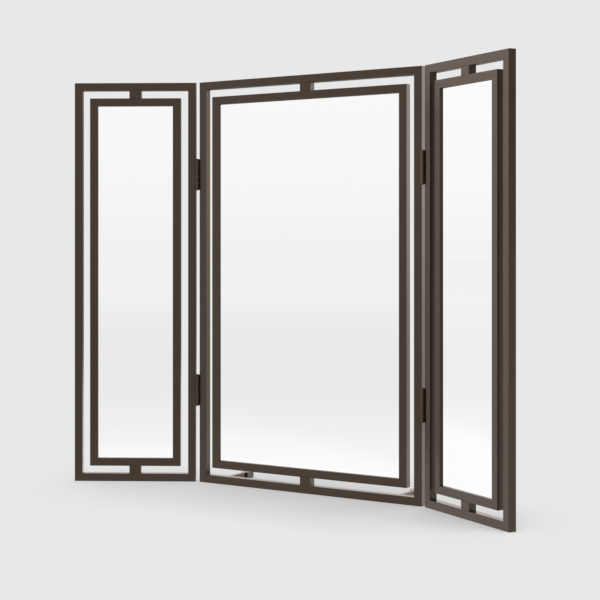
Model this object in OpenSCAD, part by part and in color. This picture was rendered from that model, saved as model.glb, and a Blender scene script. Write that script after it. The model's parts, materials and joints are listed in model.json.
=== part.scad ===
// Three-fold dressing table mirror: a centre panel and two wings on butt hinges.
// Each panel is an outer and an inner frame of mitred square tube, tied top and bottom,
// with the mirror glass set into the inner frame on a backing board.
// Origin: middle of the centre panel's underside. +X to the viewer's right, +Y back, +Z up.

/* [Panels] */
// Width of the centre panel's outer frame
centre_w = 378; // [280:1:500]
// Height of all three panels
panel_h = 612; // [450:1:800]
// Gap between the wings' free edges when both are folded shut
closed_gap = 9; // [2:0.5:20]
// Angle that each wing stands forward of flat
wing_angle = 29.5; // [0:0.5:90]

/* [Tube] */
// Outside width and depth of the square tube
tube = 12; // [11:0.1:18]
// Wall of the square tube
tube_wall = 1.2; // [0.8:0.1:2]
// Radius of the tube's outside corners
tube_r = 0.7; // [0.3:0.1:1.2]
// Open gap between the outer and the inner frame
frame_gap = 11.6; // [6:0.1:20]
// Width of the blocks that tie the inner frame to the outer one
tie_w = 18; // [8:0.5:40]
// Radius of the tie blocks' upright edges
tie_r = 0.5; // [0.2:0.1:2]

/* [Mirror] */
// Distance of the glass behind the front of the frame
recess = 3.3; // [1:0.1:4.5]
// Thickness of the mirror glass
glass_t = 4; // [3:0.5:5]
// Ground edge round the front of the glass
arris = 0.2; // [0.2:0.1:1]
// Play beside and above the glass and its board
glass_play = 0.2; // [0.2:0.1:1]

/* [Retaining straps] */
// Width of a strap
strap_w = 10; // [7:0.5:11]
// Thickness of a strap
strap_t = 1.2; // [0.8:0.1:2]
// Distance of the side straps from the corners of the mirror opening
strap_inset = 90; // [30:1:180]
// Shank diameter of the strap screws
strap_screw_d = 2.6; // [2:0.1:3.5]
// Head diameter of the strap screws
strap_head_d = 5; // [4.4:0.1:7]
// Head height of the strap screws
strap_head_t = 1.7; // [1.2:0.1:2.5]
// Board left in front of the tip of a strap screw
board_skin = 1.2; // [0.8:0.1:2]

/* [Hinges] */
// Gap between two frames when a wing is flat, which the barrel fills
hinge_gap = 5; // [4.8:0.1:8]
// Height of a hinge, between the pin's heads
hinge_h = 47; // [40:0.5:80]
// Distance from the end of a panel to the middle of its hinge
hinge_inset = 141; // [70:1:200]
// Knuckles on a hinge
knuckles = 5; // [3:2:7]
// Distance of the pin's axis in front of the frames
barrel_proud = 2; // [0.6:0.1:3]
// Thickness of a hinge leaf
leaf_t = 1.2; // [1.2:0.1:1.6]
// Distance from the rear edge of a leaf to the back of its post
leaf_margin = 1.5; // [0.5:0.1:3]
// Radius of a leaf's rear corners
leaf_r = 1.5; // [0.5:0.1:2.5]
// Diameter of the hinge pin
pin_d = 2.6; // [2:0.1:3]
// Diameter of the pin's heads
pin_head_d = 4.2; // [3.6:0.1:4.8]
// Height of each of the pin's heads
pin_head_t = 0.8; // [0.4:0.1:1.5]
// Distance between the screws in a leaf
hinge_screw_pitch = 15; // [9:0.5:17]
// Shank diameter of the hinge screws
hinge_screw_d = 2.6; // [2:0.1:3]
// Depth of the hinge screws' countersunk heads
hinge_head_t = 1; // [0.6:0.1:1.1]
// Length of the hinge screws
hinge_screw_l = 7; // [5:0.5:9]

/* [Rear feet] */
// Distance from the side of the centre panel to the middle of a foot
foot_inset = 42.5; // [20:0.5:120]
// Width of a foot bar
foot_w = 6; // [4:0.5:11]
// Height of a foot
foot_h = 10; // [8:0.1:11.3]
// Length of a foot bar behind the rail
foot_bar_l = 48; // [20:1:90]
// Width of the block that ends a foot
block_w = 12; // [8:0.5:24]
// Length of the block that ends a foot
block_l = 18; // [8:0.5:40]
// Radius of the foot bar's long edges
foot_r = 0.5; // [0.2:0.1:1.5]
// Radius of the end block's upright edges
block_r = 1; // [0.3:0.1:3]

/* [Fits] */
// Radial clearance of the hinge pin
pin_fit = 0.05; // [0.02:0.01:0.1]
// Gap between neighbouring knuckles
knuckle_gap = 0.2; // [0.1:0.05:0.3]
// Clearance of a leaf round the other leaf's knuckles
leaf_clear = 0.3; // [0.3:0.05:0.6]
// Radial clearance of the screws
screw_fit = 0.05; // [0.03:0.01:0.15]

/* [Hidden] */
$fn = 48;
over = 1;

bronze = [0.27, 0.235, 0.205];
hinge_bronze = [0.2, 0.17, 0.15];
steel = [0.62, 0.62, 0.6];
silver = [0.9, 0.93, 0.94];
board_brown = [0.35, 0.27, 0.2];

wing_w = (centre_w + hinge_gap - closed_gap) / 2;
inner_inset = tube + frame_gap;
opening_h = panel_h - 2 * (inner_inset + tube);
board_t = tube - recess - glass_t;
strap_screw_l = strap_t + board_t - board_skin;
knuckle_r = hinge_gap / 2;
pin_x = (centre_w + hinge_gap) / 2;
pin_y = -tube / 2 - barrel_proud;
leaf_reach = barrel_proud + tube - leaf_margin;
knuckle_pitch = hinge_h / knuckles;
hinge_head_d = hinge_screw_d + 2 * hinge_head_t;
foot_x = centre_w / 2 - foot_inset;

// Half outline of a pan head, in shares of its diameter and height
pan_outline = [[0, 0], [0.5, 0], [0.5, 0.5], [0.42, 0.85], [0.3, 1], [0, 1]];
// Length and width of the cross in a screw's head, in shares of its diameter
cross_size = [0.55, 0.13];
// Width of a screw's tip, as a share of its shank
tip_share = 1 / 8;

PANELS = ["centre", "left_wing", "right_wing"];
FRAMES = ["outer", "inner"];
HINGES = ["left_upper", "left_lower", "right_upper", "right_lower"];
HINGE_PIECES = ["frame_leaf", "wing_leaf", "pin"];
PANEL_PIECES = ["top_tie", "bottom_tie", "mirror", "backing_board",
                "retaining_straps", "strap_screws", "hinge_screws"];

// The four tubes of a frame, a quarter turn apart. A wing's are named from its hinge.
function side_names(p) = p == "centre"
    ? ["bottom_rail", "left_post", "top_rail", "right_post"]
    : ["bottom_rail", "hinge_post", "top_rail", "free_post"];
function panel_w(p) = p == "centre" ? centre_w : wing_w;
function opening_w(p) = panel_w(p) - 2 * (inner_inset + tube);
function hinge_z(h) = h == "left_upper" || h == "right_upper" ? panel_h - hinge_inset : hinge_inset;
function hinge_side(h) = h == "left_upper" || h == "left_lower" ? -1 : 1;
// The edges of a panel that carry hinges, as signs of X in the panel's own frame
function hinge_edges(p) = p == "centre" ? [-1, 1] : [-1];

module mirrored_x(side) mirror([side < 0 ? 1 : 0, 0, 0]) children();

// A wing is drawn about its own middle, hinge edge at -X, as it lies on the right
module at_panel(p) {
    if (p == "centre") children();
    else mirrored_x(p == "left_wing" ? -1 : 1)
        translate([pin_x, pin_y, 0]) rotate([0, 0, -wing_angle])
            translate([(hinge_gap + wing_w) / 2, -pin_y, 0]) children();
}

// Flat rectangle with true round corners
module round_rect(w, h, r) {
    square([w - 2 * r, h], center = true);
    square([w, h - 2 * r], center = true);
    for (x = [-1, 1], y = [-1, 1]) translate([x * (w / 2 - r), y * (h / 2 - r)]) circle(r);
}

// Square tube along X, its long face at Z = 0, cut at 45 degrees at both ends
module mitred_tube(l) {
    intersection() {
        translate([-l / 2, 0, tube / 2]) rotate([0, 90, 0]) linear_extrude(l) difference() {
            round_rect(tube, tube, tube_r);
            square(tube - 2 * tube_wall, center = true);
        }
        rotate([90, 0, 0]) linear_extrude(tube + 2 * over, center = true)
            polygon([[-l / 2, 0], [l / 2, 0], [l / 2 - tube, tube], [tube - l / 2, tube]]);
    }
}

module frame_tube(p, f, i) {
    inset = f == "outer" ? 0 : inner_inset;
    sizes = [panel_w(p) - 2 * inset, panel_h - 2 * inset];
    color(bronze) at_panel(p) difference() {
        translate([0, 0, panel_h / 2]) rotate([0, 90 * i, 0])
            translate([0, 0, -sizes[(i + 1) % 2] / 2]) mitred_tube(sizes[i % 2]);
        if (f == "inner") strap_places(p) strap_screw_places()
            screw_hole(strap_screw_d, tube_wall + over);
        else hinge_screw_places(p) screw_hole(hinge_screw_d, tube_wall + over);
    }
}

module tie(p, level) {
    z = level == "top" ? panel_h - inner_inset : tube;
    color(bronze) at_panel(p) translate([0, 0, z])
        linear_extrude(frame_gap) round_rect(tie_w, tube, tie_r);
}

// Plate in the XZ plane with its front, at Y = 0, ground off round the edge
module arrised_plate(w, h, t, c) {
    intersection() {
        linear_extrude(h) plate_section(w, t, c);
        translate([-w / 2, 0, h / 2]) rotate([0, 90, 0]) linear_extrude(w) plate_section(h, t, c);
    }
}

module plate_section(w, t, c)
    polygon([[-w / 2, t], [-w / 2, c], [c - w / 2, 0], [w / 2 - c, 0], [w / 2, c], [w / 2, t]]);

module mirror_glass(p) {
    color(silver) at_panel(p) translate([0, recess - tube / 2, inner_inset + tube])
        arrised_plate(opening_w(p) - 2 * glass_play, opening_h - glass_play, glass_t, arris);
}

module backing_board(p) {
    w = opening_w(p) - 2 * glass_play;
    color(board_brown) at_panel(p) difference() {
        translate([-w / 2, tube / 2 - board_t, inner_inset + tube])
            cube([w, board_t, opening_h - glass_play]);
        strap_places(p) strap_screw_places()
            screw_hole(strap_screw_d, strap_screw_l - strap_t + screw_fit);
    }
}

// Strap stations round the mirror opening, with +X outwards over the inner frame's tube
module strap_places(p) {
    for (s = [-1, 1]) {
        for (t = [-1, 1])
            translate([s * opening_w(p) / 2, tube / 2, panel_h / 2 + t * (opening_h / 2 - strap_inset)])
                rotate([0, s > 0 ? 0 : 180, 0]) children();
        translate([0, tube / 2, panel_h / 2 + s * opening_h / 2]) rotate([0, -90 * s, 0]) children();
    }
}

// The two screws of a strap, one in the tube's middle and one as far inside, heads to +Z
module strap_screw_places()
    for (s = [-1, 1]) translate([s * tube / 2, 0, 0]) rotate([-90, 0, 0]) children();

module retaining_straps(p) {
    color(steel) at_panel(p) strap_places(p) translate([0, strap_t, 0]) rotate([90, 0, 0])
        linear_extrude(strap_t) difference() {
            union() {
                square([tube, strap_w], center = true);
                for (s = [-1, 1]) translate([s * tube / 2, 0]) circle(d = strap_w);
            }
            for (s = [-1, 1]) translate([s * tube / 2, 0]) circle(d = strap_screw_d + 2 * screw_fit);
        }
}

module strap_screws(p) {
    color(steel) at_panel(p) strap_places(p) strap_screw_places() translate([0, 0, strap_t]) {
        difference() {
            pan_head(strap_head_d, strap_head_t);
            cross_recess(strap_head_d, strap_head_t);
        }
        screw_shank(strap_screw_d, strap_screw_l);
    }
}

// Where the screws enter a post: Z outwards from the post's side face
module hinge_screw_places(p) {
    for (e = hinge_edges(p), z = [hinge_inset, panel_h - hinge_inset], k = [-1 : 1])
        mirrored_x(e) translate([panel_w(p) / 2, 0, z + k * hinge_screw_pitch])
            rotate([0, 90, 0]) children();
}

module hinge_screws(p) {
    color(hinge_bronze) at_panel(p) hinge_screw_places(p)
        translate([0, 0, leaf_t - screw_fit - hinge_head_t]) {
            difference() {
                cylinder(h = hinge_head_t, d1 = hinge_screw_d, d2 = hinge_head_d);
                cross_recess(hinge_head_d, hinge_head_t);
            }
            screw_shank(hinge_screw_d, hinge_screw_l - hinge_head_t);
        }
}

module pan_head(d, t) rotate_extrude() polygon([for (q = pan_outline) [q.x * d, q.y * t]]);

// Cross cut half as deep as a head that stands on Z = 0
module cross_recess(d, t)
    for (a = [0, 90]) rotate([0, 0, a]) translate([0, 0, t])
        cube([cross_size.x * d, cross_size.y * d, t], center = true);

// Shank down from Z = 0 with a pointed end
module screw_shank(d, l) {
    translate([0, 0, d / 2 - l]) cylinder(h = l - d / 2, d = d);
    translate([0, 0, -l]) cylinder(h = d / 2, d1 = tip_share * d, d2 = d);
}

module screw_hole(d, depth)
    translate([0, 0, -depth]) cylinder(h = depth + over, d = d + 2 * screw_fit);

// A leaf on the -X side of the pin's axis, flat against its post at X = -hinge_gap / 2.
// own is 0 for the leaf with the outer knuckles and 1 for the one between them.
module hinge_leaf(own) {
    difference() {
        union() {
            translate([-knuckle_r, 0, hinge_h / 2]) rotate([90, 0, 90]) linear_extrude(leaf_t)
                leaf_outline();
            for (k = [own : 2 : knuckles - 1]) knuckle(k, knuckle_r, -knuckle_gap / 2);
        }
        for (k = [1 - own : 2 : knuckles - 1]) knuckle(k, knuckle_r + leaf_clear, knuckle_gap / 2);
        translate([0, 0, -over]) cylinder(h = hinge_h + 2 * over, d = pin_d + 2 * pin_fit);
        for (k = [-1 : 1])
            translate([-knuckle_r, -pin_y, hinge_h / 2 + k * hinge_screw_pitch]) rotate([0, 90, 0]) {
                translate([0, 0, -over]) cylinder(h = leaf_t + 2 * over, d = hinge_screw_d + 2 * screw_fit);
                translate([0, 0, leaf_t - hinge_head_t - screw_fit])
                    cylinder(h = hinge_head_t, d1 = hinge_screw_d + 2 * screw_fit,
                             d2 = hinge_head_d + 2 * screw_fit);
                translate([0, 0, leaf_t - screw_fit]) cylinder(h = over, d = hinge_head_d + 2 * screw_fit);
            }
    }
}

// Leaf plate from the pin's axis back, with its two rear corners rounded
module leaf_outline() {
    translate([0, -hinge_h / 2]) square([leaf_reach - leaf_r, hinge_h]);
    translate([0, leaf_r - hinge_h / 2]) square([leaf_reach, hinge_h - 2 * leaf_r]);
    for (s = [-1, 1]) translate([leaf_reach - leaf_r, s * (hinge_h / 2 - leaf_r)]) circle(leaf_r);
}

// Space of knuckle k, grown lengthwise by grow where it meets its neighbours
module knuckle(k, r, grow) {
    low = k * knuckle_pitch - (k > 0 ? grow : max(grow, 0));
    high = (k + 1) * knuckle_pitch + (k < knuckles - 1 ? grow : max(grow, 0));
    translate([0, 0, low]) cylinder(h = high - low, r = r);
}

module at_hinge(h)
    mirrored_x(hinge_side(h)) translate([pin_x, pin_y, hinge_z(h) - hinge_h / 2]) children();

module frame_leaf(h) color(hinge_bronze) at_hinge(h) hinge_leaf(0);

module wing_leaf(h)
    color(hinge_bronze) at_hinge(h) rotate([0, 0, -wing_angle]) mirror([1, 0, 0]) hinge_leaf(1);

module hinge_pin(h) {
    color(steel) at_hinge(h) {
        translate([0, 0, -knuckle_gap]) cylinder(h = hinge_h + knuckle_gap, d = pin_d);
        translate([0, 0, hinge_h]) pan_head(pin_head_d, pin_head_t);
        translate([0, 0, -knuckle_gap]) mirror([0, 0, 1]) pan_head(pin_head_d, pin_head_t);
    }
}

module foot_bar(side) {
    color(bronze) translate([side * foot_x, tube / 2, foot_h / 2])
        rotate([-90, 0, 0]) linear_extrude(foot_bar_l) round_rect(foot_w, foot_h, foot_r);
}

module foot_end_blocks() {
    color(bronze) for (s = [-1, 1])
        translate([s * foot_x, tube / 2 + foot_bar_l + block_l / 2, 0])
            linear_extrude(foot_h) round_rect(block_w, block_l, block_r);
}

for (p = PANELS) {
    for (f = FRAMES, i = [0 : 3])
        frame_tube(p, f, i);
    tie(p, "top");
    tie(p, "bottom");
    mirror_glass(p);
    backing_board(p);
    retaining_straps(p);
    strap_screws(p);
    hinge_screws(p);
}
for (h = HINGES) {
    frame_leaf(h);
    wing_leaf(h);
    hinge_pin(h);
}
foot_bar(-1);  // left_foot_bar
foot_bar(1);  // right_foot_bar
foot_end_blocks();
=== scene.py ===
import json
import math

import bpy
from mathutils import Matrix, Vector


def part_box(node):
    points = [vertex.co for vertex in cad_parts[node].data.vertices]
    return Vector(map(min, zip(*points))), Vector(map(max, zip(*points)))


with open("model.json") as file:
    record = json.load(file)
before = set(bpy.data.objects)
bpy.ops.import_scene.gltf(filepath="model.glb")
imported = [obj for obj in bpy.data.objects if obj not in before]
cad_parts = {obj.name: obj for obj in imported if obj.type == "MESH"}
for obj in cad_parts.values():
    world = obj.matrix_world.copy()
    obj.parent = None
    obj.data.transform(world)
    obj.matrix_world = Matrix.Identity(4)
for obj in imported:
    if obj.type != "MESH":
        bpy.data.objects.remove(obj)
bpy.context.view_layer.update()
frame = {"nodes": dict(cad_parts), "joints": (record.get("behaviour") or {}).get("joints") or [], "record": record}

MM = 0.001

# How the wings stand at rest, and where the panels end
WINGS = ("left_wing", "right_wing")
WING_ANGLE = math.radians(29.5)
WING_W = 187 * MM
HINGE_GAP = 5 * MM
PIN_X, PIN_Y = frame["joints"][1]["pos_m"][:2]
CENTRE_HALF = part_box("centre_outer_top_rail")[1][0]
CENTRE_LEFT_END = (-CENTRE_HALF, 0, 0)
PANEL_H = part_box("centre_outer_left_post")[1][2]
RIGHT_WING_END = (PIN_X + WING_W * math.cos(WING_ANGLE), PIN_Y - WING_W * math.sin(WING_ANGLE), 0)

# The photograph's camera, level and turned towards the left
IMAGE_PX = 600
FOCAL_PX = 1351.2
HORIZON_PX = 244.3
SENSOR_MM = 36
CAMERA_AT = (1.0213, -1.6933, 0.3641)
CAMERA_YAW = math.radians(31.396)
CAMERA_RANGE = 200

# Light levels, where 1 is white
BACKDROP = 232 / 255
AMBIENT = 0.78
MIRRORED_LIGHT = 1.14
SUN = 0.75
SUN_SPREAD = math.radians(50)
SUN_DIRECTION = (math.radians(-38), math.radians(-18), 0)

# The floor, and how far in metres a level given by a distance or by a place can run
FLOOR_SIZE = 60
FLOOR_GREY = 0.8
DISTANCE_RANGE = 10
PLACE_RANGE = 0.5

# What gloss and mirrors show: the sky by the sine of its height, and the floor by the distance
# from the object's middle
SKY_LEVELS = [(0.0, 0.91), (0.035, 0.95), (0.11, 0.975), (0.5, 1.0)]
FLOOR_LEVELS = [(0.3, 0.953), (0.57, 0.922), (0.7, 0.897), (0.95, 0.88),
                (1.26, 0.852), (2.44, 0.845), (7.5, 0.91)]

# Softboxes and dark screens round the object, which only gloss and mirrors show. Each has a
# direction, a span of cosines over which it fades in, and a strength that it adds or takes.
# The left softbox lights the right wing's posts. It lies outside what the right mirror shows,
# and is painted on the floor as a glow where the centre mirror doesn't show it.
LEFT = (-0.8988, -0.4384, 0)
LEFT_SPAN = (0.9744, 0.9799)
LEFT_SOFTBOX = 2.2
LEFT_HEIGHT = [(0.35, 1.0), (0.5, 0.0)]
LEFT_FLOOR = (-0.9397, -0.342, 0)
LEFT_FLOOR_SPAN = (0.9, 0.97)
LEFT_FLOOR_START = [(0.4, 0.0), (2.0, 1.0)]

# A slight lift of light where the right mirror looks, in the sky and painted on the floor, with more of it near
# the object
WING_VIEW = (-0.986, -0.164, 0)
WING_VIEW_SPAN = (0.9, 0.97)
WING_VIEW_SKY = 0.025
WING_VIEW_FLOOR = [(3.0, 0.05), (9.0, 0.0)]
WING_VIEW_FOOT = [(0.35, 0.062), (0.9, 0.0)]
WING_VIEW_FRONT = [(-0.23, 0.0), (-0.18, 1.0)]

# Behind on the right, shown by the sides of the posts that look right
BACK = (0.38, 0.925, 0)
BACK_SPAN = (0.955, 0.995)
BACK_SOFTBOX = 0.7

# To the right, shown by the free side of the right wing
RIGHT = (1, 0, 0)
RIGHT_SPAN = (0.8, 0.95)
RIGHT_SHADE = 0.6

# Behind on the left and low, shown by the rails' upper and lower sides
HIND = (-0.45, 0.893, 0)
HIND_SPAN = (0.75, 0.92)
HIND_SHADE = 0.9
HIND_HEIGHT = [(0.1, 1.0), (0.2, 0.0)]
# The same dark screen painted on the floor as shade, from this far out
HIND_FLOOR_START = [(1.0, 0.0), (2.5, 1.0)]

# Painted shadow on the floor: its depth by the share of the sky that the object hides, at the
# left, in the middle and at the right, and where across the object these change over
SHADOW_REACH = 0.25
SHADOW_SAMPLES = 16
SHADOW_LEFT = [(0.04, 0.0), (0.15, 0.032), (0.235, 0.092), (1.0, 0.44)]
SHADOW_MIDDLE = [(0.0, 0.0), (0.03, 0.03), (0.143, 0.11), (0.28, 0.188), (1.0, 0.6)]
SHADOW_RIGHT = [(0.1, 0.0), (0.2, 0.035), (0.27, 0.085), (0.44, 0.3), (1.0, 0.62)]
LEFT_TO_MIDDLE = [(-0.3, 0.0), (-0.05, 1.0)]
MIDDLE_TO_RIGHT = [(0.1, 0.0), (0.25, 1.0)]
# Painted shadow on the floor as gloss and mirrors show it
MIRRORED_SHADOW = 0.15

# Bronze: a dark coat with a tinted gloss, under a faintly warm lacquer
COAT = (0.006, 0.0036, 0.002)
COAT_MOTTLE = (0.75, 1.25)
BRONZE_IOR = 1.5
BRONZE_GLOSS = (0.58, 0.314, 0.04, 1)
LACQUER = (1, 0.86, 0.76, 1)
LACQUER_IOR = 1.4
MOTTLE_ROUGHNESS = 0.1
GRAIN_DEPTH = 0.008 * MM
WEAR = 0.1
WORN_EDGE = [(0.52, 0.0), (0.62, 1.0)]
WORN_COLOUR = (120, 100, 80)
SEAM_WIDTH = 0.35 * MM
SEAM_DEPTH = 0.12 * MM
SEAM_ROUGHNESS = 0.3
SEAM_COLOUR = (8, 6, 4)

# Mirror glass, and how far the wings' glasses stand off their frames' plane, as their
# reflections show
GLASS_SKEW = math.radians(1.2)
GLASS_IOR = 1.52
GLASS_EDGE_COLOUR = (128, 150, 142)
GLASS_FACE = [(0.9, 0.0), (0.97, 1.0)]
SILVER_COLOUR = (237, 237, 237)
SILVER_HAZE = [(0.55, 0.0), (0.85, 0.03)]

# Fibreboard and zinc plate
FIBRE_COLOURS = (62, 50, 41), (98, 82, 66)
FIBRE_STRETCH = (1, 1, 0.25)
FIBRE_DEPTH = 0.1 * MM
BLOTCH_COLOUR = (60, 47, 37)
BLOTCH_SHARE = 0.4
ZINC_COLOURS = (158, 158, 154), (196, 196, 190)
ZINC_ROUGHNESS = 0.28
BRUSH_ROUGHNESS = 0.15
BRUSH_DEPTH = 0.03 * MM
BRUSHED_ALONG_Y = (1, 0.05, 1)
UNBRUSHED = (1, 1, 1)


def linear(value):
    return value / 12.92 if value <= 0.04045 else ((value + 0.055) / 1.055) ** 2.4


def colour(red, green, blue):
    """Linear colour from 0 to 255 display values."""
    return tuple(linear(v / 255) for v in (red, green, blue)) + (1,)


def grey(value):
    return (value, value, value, 1)


# Node helpers
def add(tree, kind, inputs=None, **settings):
    """A node with its inputs linked or set, and its settings."""
    node = tree.nodes.new(kind)
    for name, value in settings.items():
        setattr(node, name, value)
    for key, value in (inputs or {}).items():
        if isinstance(value, bpy.types.NodeSocket):
            tree.links.new(value, node.inputs[key])
        else:
            node.inputs[key].default_value = value
    return node


def maths(tree, operation, a, b=0.0, clamp=False):
    return add(tree, "ShaderNodeMath", {0: a, 1: b}, operation=operation, use_clamp=clamp).outputs[0]


def product(tree, level, *others):
    for other in others:
        level = maths(tree, "MULTIPLY", level, other)
    return level


def layered(tree, level, layers):
    """A level plus each layer's shape times its strength."""
    for shape, strength in layers:
        level = maths(tree, "ADD", level, product(tree, shape, strength))
    return level


def vector(tree, operation, a, b=(0, 0, 0)):
    return add(tree, "ShaderNodeVectorMath", {0: a, 1: b}, operation=operation).outputs


def axes(tree, at):
    return add(tree, "ShaderNodeSeparateXYZ", {0: at}).outputs


def ramp(tree, factor, stops):
    node = add(tree, "ShaderNodeValToRGB", {0: factor})
    band = node.color_ramp
    while len(band.elements) < len(stops):
        band.elements.new(0.5)
    for element, (stop, level) in zip(band.elements, stops):
        element.position = stop
        element.color = grey(level)
    return node.outputs["Color"]


def by_distance(tree, distance, stops):
    """Level by a distance from 0 to DISTANCE_RANGE."""
    share = maths(tree, "DIVIDE", distance, DISTANCE_RANGE)
    return ramp(tree, share, [(metres / DISTANCE_RANGE, level) for metres, level in stops])


def by_place(tree, coordinate, stops):
    """Level by a coordinate from -PLACE_RANGE to PLACE_RANGE."""
    shifted = maths(tree, "ADD", coordinate, PLACE_RANGE)
    return ramp(tree, shifted, [(metres + PLACE_RANGE, level) for metres, level in stops])


def bearing(tree, at, origin=(0, 0, 0)):
    """Direction of a point as seen from an origin."""
    return vector(tree, "NORMALIZE", vector(tree, "SUBTRACT", at, origin)["Vector"])["Vector"]


def towards(tree, direction, aim, start, full):
    """0 to 1 as a direction turns towards an aim, between two cosines."""
    cosine = vector(tree, "DOT_PRODUCT", direction, aim)["Value"]
    return ramp(tree, cosine, [(start, 0.0), (full, 1.0)])


def noise(tree, at, scale, detail, roughness=0.5):
    inputs = {"Vector": at, "Scale": scale, "Detail": detail, "Roughness": roughness}
    return add(tree, "ShaderNodeTexNoise", inputs).outputs["Fac"]


def mix_colour(tree, factor, a, b):
    node = add(tree, "ShaderNodeMix", data_type="RGBA")
    for key, value in (("Factor_Float", factor), ("A_Color", a), ("B_Color", b)):
        socket = next(s for s in node.inputs if s.identifier == key)
        if isinstance(value, bpy.types.NodeSocket):
            tree.links.new(value, socket)
        else:
            socket.default_value = value
    return next(s for s in node.outputs if s.identifier == "Result_Color")


def stretched(tree, at, scale):
    return add(tree, "ShaderNodeMapping", {"Vector": at, "Scale": scale}).outputs[0]


def bump(tree, height, distance=1.0):
    return add(tree, "ShaderNodeBump", {"Height": height, "Distance": distance}).outputs["Normal"]


def position(tree):
    """Where a point is at rest, in metres, as every object sits at the origin."""
    return add(tree, "ShaderNodeTexCoord").outputs["Object"]


def principled(tree, inputs):
    return add(tree, "ShaderNodeBsdfPrincipled", inputs)


def mix_shader(tree, factor, a, b):
    return add(tree, "ShaderNodeMixShader", {0: factor, 1: a.outputs[0], 2: b.outputs[0]})


def by_viewer(tree, matt, mirrored, plain):
    """One look for matt surfaces, one for what gloss and mirrors show the camera, one for the camera."""
    path = add(tree, "ShaderNodeLightPath").outputs
    before_matt = maths(tree, "LESS_THAN", path["Diffuse Depth"], 1)
    lit = mix_shader(tree, product(tree, path["Is Glossy Ray"], before_matt), matt, mirrored)
    return mix_shader(tree, path["Is Camera Ray"], lit, plain)


def new_material(name):
    material = bpy.data.materials.new(name)
    material.use_nodes = True
    tree = material.node_tree
    tree.nodes.clear()
    return material, tree


def surface(tree, shader, kind="ShaderNodeOutputMaterial"):
    tree.links.new(shader.outputs[0], add(tree, kind).inputs["Surface"])


# Dark bronze powder coat
def edge_distance(tree, at, wing):
    """How far a point is from the nearer upright edge of its panel."""
    split = axes(tree, at)
    across = maths(tree, "ABSOLUTE", split["X"])
    if not wing:
        return maths(tree, "SUBTRACT", CENTRE_HALF, across)
    along = product(tree, maths(tree, "SUBTRACT", across, PIN_X), math.cos(WING_ANGLE))
    forward = product(tree, maths(tree, "SUBTRACT", split["Y"], PIN_Y), math.sin(WING_ANGLE))
    from_hinge = maths(tree, "SUBTRACT", maths(tree, "SUBTRACT", along, forward), HINGE_GAP / 2)
    return maths(tree, "MINIMUM", from_hinge, maths(tree, "SUBTRACT", WING_W, from_hinge))


def mitre_seam(tree, at, wing):
    """1 on the diagonal joints at the corners of both frames, fading out over a hair's width."""
    height = axes(tree, at)["Z"]
    from_end = maths(tree, "MINIMUM", height, maths(tree, "SUBTRACT", PANEL_H, height))
    offset = maths(tree, "ABSOLUTE", maths(tree, "SUBTRACT", from_end, edge_distance(tree, at, wing)))
    return maths(tree, "SUBTRACT", 1, maths(tree, "DIVIDE", offset, SEAM_WIDTH), clamp=True)


def bronze(name, roughness=0.3, lacquer_roughness=0.25, wing=False):
    material, tree = new_material(name)
    at = position(tree)
    mottle = noise(tree, at, scale=38, detail=4, roughness=0.6)
    grain = noise(tree, at, scale=900, detail=2)
    seam = mitre_seam(tree, at, wing)
    dark, light = (tuple(c * share for c in COAT) + (1,) for share in COAT_MOTTLE)
    base = mix_colour(tree, mottle, dark, light)
    edge = ramp(tree, add(tree, "ShaderNodeNewGeometry").outputs["Pointiness"], WORN_EDGE)
    base = mix_colour(tree, product(tree, edge, mottle, WEAR), base, colour(*WORN_COLOUR))
    base = mix_colour(tree, seam, base, colour(*SEAM_COLOUR))
    rough = layered(tree, roughness - MOTTLE_ROUGHNESS / 2,
                    [(mottle, MOTTLE_ROUGHNESS), (seam, SEAM_ROUGHNESS)])
    relief = maths(tree, "SUBTRACT", product(tree, grain, GRAIN_DEPTH), product(tree, seam, SEAM_DEPTH))
    surface(tree, principled(tree, {
        "Base Color": base, "Roughness": rough, "IOR": BRONZE_IOR, "Specular Tint": BRONZE_GLOSS,
        "Coat Weight": 1.0, "Coat IOR": LACQUER_IOR, "Coat Roughness": lacquer_roughness,
        "Coat Tint": LACQUER, "Normal": bump(tree, relief)}))
    return material


# Mirror glass, boards and fasteners
def front_of(turn):
    """Where a panel's front looks, which is along -Y turned by an angle."""
    return (math.sin(turn), -math.cos(turn), 0)


def mirror_silver(name, turn=0):
    """Silvered glass on a panel turned by an angle, with a polished edge."""
    material, tree = new_material(name)
    coords = add(tree, "ShaderNodeTexCoord").outputs
    haze = noise(tree, coords["Object"], scale=9, detail=3)
    glass_turn = turn - math.copysign(GLASS_SKEW, turn) if turn else 0
    as_colour = tuple(0.5 + v / 2 for v in front_of(glass_turn)) + (1,)
    normal = add(tree, "ShaderNodeNormalMap", {"Color": as_colour}, space="OBJECT").outputs["Normal"]
    silver = principled(tree, {
        "Base Color": colour(*SILVER_COLOUR), "Metallic": 1.0,
        "Roughness": ramp(tree, haze, SILVER_HAZE), "Normal": normal})
    edge = principled(tree, {
        "Base Color": colour(*GLASS_EDGE_COLOUR), "Roughness": 0.15, "IOR": GLASS_IOR})
    facing = vector(tree, "DOT_PRODUCT", coords["Normal"], front_of(turn))["Value"]
    surface(tree, mix_shader(tree, ramp(tree, facing, GLASS_FACE), edge, silver))
    return material


def fibreboard():
    material, tree = new_material("fibreboard")
    at = position(tree)
    fibre = noise(tree, stretched(tree, at, FIBRE_STRETCH), scale=700, detail=4, roughness=0.7)
    blotch = noise(tree, at, scale=12, detail=3)
    dark, light = FIBRE_COLOURS
    base = mix_colour(tree, fibre, colour(*dark), colour(*light))
    base = mix_colour(tree, product(tree, blotch, BLOTCH_SHARE), base, colour(*BLOTCH_COLOUR))
    surface(tree, principled(tree, {
        "Base Color": base, "Roughness": 0.75, "Normal": bump(tree, fibre, FIBRE_DEPTH)}))
    return material


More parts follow.
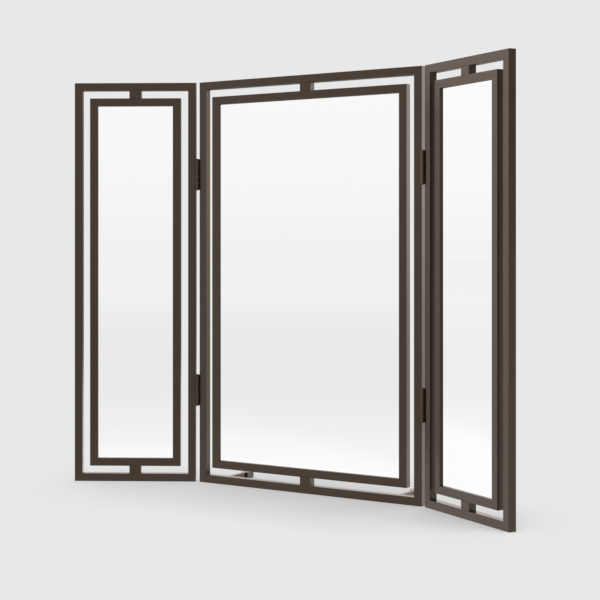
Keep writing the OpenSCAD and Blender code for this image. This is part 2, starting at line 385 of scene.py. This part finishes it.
def zinc(name, stretch):
    material, tree = new_material(name)
    at = position(tree)
    lines = noise(tree, stretched(tree, at, stretch), scale=1500, detail=2)
    spangle = noise(tree, at, scale=160, detail=2)
    dark, light = ZINC_COLOURS
    surface(tree, principled(tree, {
        "Base Color": mix_colour(tree, spangle, colour(*dark), colour(*light)), "Metallic": 1.0,
        "Roughness": layered(tree, ZINC_ROUGHNESS, [(lines, BRUSH_ROUGHNESS)]),
        "Normal": bump(tree, lines, BRUSH_DEPTH)}))
    return material


# Floor and studio
def painted_floor_shadow(tree, across, covered):
    """Depth of the shadow painted on the floor that the camera sees."""
    left, middle, right = (ramp(tree, covered, stops)
                           for stops in (SHADOW_LEFT, SHADOW_MIDDLE, SHADOW_RIGHT))
    shadow = mix_colour(tree, by_place(tree, across, LEFT_TO_MIDDLE), left, middle)
    return mix_colour(tree, by_place(tree, across, MIDDLE_TO_RIGHT), shadow, right)


def mirrored_floor(tree, at, covered):
    """The floor as gloss and mirrors show it: a glow with painted shade where the object hides the sky and behind
    on the left, and painted light from the left softbox and near the foot where the right mirror looks.
    """
    distance = vector(tree, "LENGTH", at)["Value"]
    from_wing = bearing(tree, at, RIGHT_WING_END)
    left = product(tree, towards(tree, from_wing, LEFT, *LEFT_SPAN),
                   towards(tree, bearing(tree, at, CENTRE_LEFT_END), LEFT_FLOOR, *LEFT_FLOOR_SPAN),
                   by_distance(tree, distance, LEFT_FLOOR_START))
    hind = product(tree, by_distance(tree, distance, HIND_FLOOR_START),
                   towards(tree, bearing(tree, at), HIND, *HIND_SPAN))
    foot = product(tree, by_distance(tree, distance, WING_VIEW_FOOT),
                   by_place(tree, axes(tree, at)["Y"], WING_VIEW_FRONT))
    lift = maths(tree, "ADD", by_distance(tree, distance, WING_VIEW_FLOOR), foot)
    strength = layered(tree, MIRRORED_LIGHT, [
        (covered, -MIRRORED_SHADOW),
        (hind, -HIND_SHADE),
        (left, LEFT_SOFTBOX),
        (towards(tree, from_wing, WING_VIEW, *WING_VIEW_SPAN), lift)])
    shown = by_distance(tree, distance, FLOOR_LEVELS)
    return add(tree, "ShaderNodeEmission", {"Color": shown, "Strength": strength})


def studio_floor():
    bpy.ops.mesh.primitive_plane_add(size=FLOOR_SIZE, location=(0, 0, 0))
    floor = bpy.context.object
    floor.name = "floor"
    material, tree = new_material("floor")
    at = position(tree)
    hidden = add(tree, "ShaderNodeAmbientOcclusion", {"Distance": SHADOW_REACH}, samples=SHADOW_SAMPLES)
    covered = maths(tree, "SUBTRACT", 1, hidden.outputs["AO"])
    # The camera sees the floor as the backdrop's grey glowing, with the shadow painted into that glow
    shade = maths(tree, "SUBTRACT", 1, painted_floor_shadow(tree, axes(tree, at)["X"], covered))
    matt = add(tree, "ShaderNodeBsdfDiffuse", {"Color": grey(FLOOR_GREY)})
    plain = add(tree, "ShaderNodeEmission", {"Color": grey(linear(BACKDROP)), "Strength": shade})
    surface(tree, by_viewer(tree, matt, mirrored_floor(tree, at, covered), plain))
    floor.data.materials.append(material)


def mirrored_sky(tree):
    """The sky as gloss and mirrors show it."""
    direction = add(tree, "ShaderNodeTexCoord").outputs["Generated"]
    height = axes(tree, direction)["Z"]
    steep = maths(tree, "ABSOLUTE", height)
    flat = vector(tree, "MULTIPLY", direction, (1, 1, 0))["Vector"]
    left = product(tree, ramp(tree, steep, LEFT_HEIGHT),
                   towards(tree, bearing(tree, flat), LEFT, *LEFT_SPAN))
    hind = product(tree, ramp(tree, steep, HIND_HEIGHT), towards(tree, direction, HIND, *HIND_SPAN))
    strength = layered(tree, MIRRORED_LIGHT, [
        (left, LEFT_SOFTBOX),
        (towards(tree, direction, WING_VIEW, *WING_VIEW_SPAN), WING_VIEW_SKY),
        (towards(tree, direction, BACK, *BACK_SPAN), BACK_SOFTBOX),
        (towards(tree, direction, RIGHT, *RIGHT_SPAN), -RIGHT_SHADE),
        (hind, -HIND_SHADE)])
    shown = ramp(tree, height, SKY_LEVELS)
    return add(tree, "ShaderNodeBackground", {"Color": shown, "Strength": strength})


def studio_world():
    world = bpy.data.worlds.new("studio")
    bpy.context.scene.world = world
    world.use_nodes = True
    tree = world.node_tree
    tree.nodes.clear()
    ambient = add(tree, "ShaderNodeBackground", {"Color": grey(1.0), "Strength": AMBIENT})
    backdrop = add(tree, "ShaderNodeBackground", {"Color": grey(linear(BACKDROP))})
    surface(tree, by_viewer(tree, ambient, mirrored_sky(tree), backdrop), "ShaderNodeOutputWorld")


def studio_sun():
    lamp = bpy.data.lights.new("soft_key", "SUN")
    lamp.energy = SUN
    lamp.angle = SUN_SPREAD
    holder = bpy.data.objects.new("soft_key", lamp)
    holder.rotation_euler = SUN_DIRECTION
    bpy.context.scene.collection.objects.link(holder)


def photo_camera():
    lens = bpy.data.cameras.new("photo_camera")
    lens.sensor_width = SENSOR_MM
    lens.lens = FOCAL_PX / IMAGE_PX * SENSOR_MM
    lens.shift_y = (HORIZON_PX - IMAGE_PX / 2) / IMAGE_PX
    lens.clip_end = CAMERA_RANGE
    camera = bpy.data.objects.new("photo_camera", lens)
    camera.location = CAMERA_AT
    camera.rotation_euler = (math.pi / 2, 0, CAMERA_YAW)
    bpy.context.scene.collection.objects.link(camera)
    bpy.context.scene.camera = camera


def dress():
    """One material to each slot of the record, or one to each panel where its turn matters."""
    shared = {
        "hinge_bronze": bronze("hinge_bronze", roughness=0.25, lacquer_roughness=0.13),
        "backing_board": fibreboard(),
        "strap_steel": zinc("strap_steel", BRUSHED_ALONG_Y),
        "screw_steel": zinc("screw_steel", UNBRUSHED),
    }
    wing_bronze = bronze("bronze_tube_wing", wing=True)
    panels = {
        "centre": {"bronze_tube": bronze("bronze_tube"), "mirror_glass": mirror_silver("mirror_glass")},
        "left_wing": {"bronze_tube": wing_bronze,
                      "mirror_glass": mirror_silver("mirror_glass_left", WING_ANGLE)},
        "right_wing": {"bronze_tube": wing_bronze,
                       "mirror_glass": mirror_silver("mirror_glass_right", -WING_ANGLE)},
    }
    for part in frame["record"]["subparts"]:
        node = part["node"]
        panel = next((wing for wing in WINGS if node.startswith(wing)), "centre")
        mesh = frame["nodes"][node].data
        mesh.materials.clear()
        mesh.materials.append((shared | panels[panel])[part["material_slot"]])


bpy.context.scene.view_settings.view_transform = "Standard"
photo_camera()
studio_floor()
studio_world()
studio_sun()
dress()
